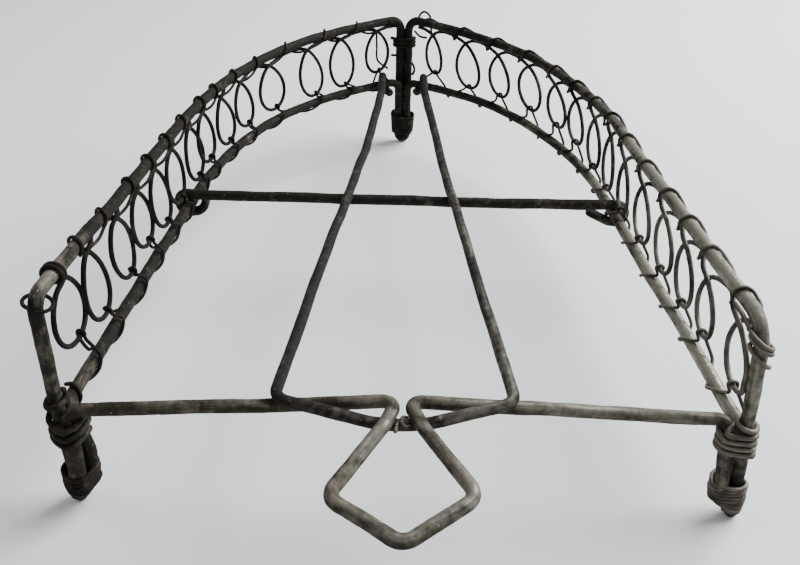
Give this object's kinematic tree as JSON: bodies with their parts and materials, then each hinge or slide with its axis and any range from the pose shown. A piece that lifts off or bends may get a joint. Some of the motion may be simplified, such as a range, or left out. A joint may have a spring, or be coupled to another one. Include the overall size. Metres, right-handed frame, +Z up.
{
  "type": "flat iron stand",
  "caption": "Handmade wire stand for a flat iron: pointed plan, looped wire side fences, heart-shaped support wires, diamond handle loop and small wire-bound feet.",
  "frame": {"origin": "middle of the bounding box, on the table", "axes": "+X to the right seen from the handle, +Y from the handle to the pointed back, +Z up"},
  "size_m": [0.1387, 0.2244, 0.0519],
  "materials": {
    "frame_wire": "aged iron wire, dark oxide with worn bright streaks and a little rust",
    "handle_wire": "aged iron wire, mottled grey-brown, polished by hands",
    "support_wire": "aged iron wire, grey-brown with long worn streaks",
    "loop_wire": "blackened iron wire, satin",
    "lacing_wire": "blackened fine iron wire, slightly rusted",
    "binding_wire": "blackened iron tying wire, satin"
  },
  "bodies": {
    "root": {"top_frame_wire": "frame_wire", "handle_bar": "handle_wire", "middle_crossbar": "frame_wire", "heart_support": "support_wire", "handle_tie": "lacing_wire", "left_lower_rail": "frame_wire", "left_loop_wire": "loop_wire", "left_top_lacing": "lacing_wire", "left_bottom_lacing": "lacing_wire", "left_corner_wrap": "binding_wire", "left_leg_binding": "binding_wire", "left_foot_binding": "binding_wire", "left_apex_tail": "lacing_wire", "right_lower_rail": "frame_wire", "right_loop_wire": "loop_wire", "right_top_lacing": "lacing_wire", "right_bottom_lacing": "lacing_wire", "right_corner_wrap": "binding_wire", "right_leg_binding": "binding_wire", "right_foot_binding": "binding_wire", "right_apex_tail": "lacing_wire", "left_corner_ring": "lacing_wire", "post_top_binding": "binding_wire", "post_joint_binding": "binding_wire", "back_foot_collar": "binding_wire"}
  },
  "joints": []
}
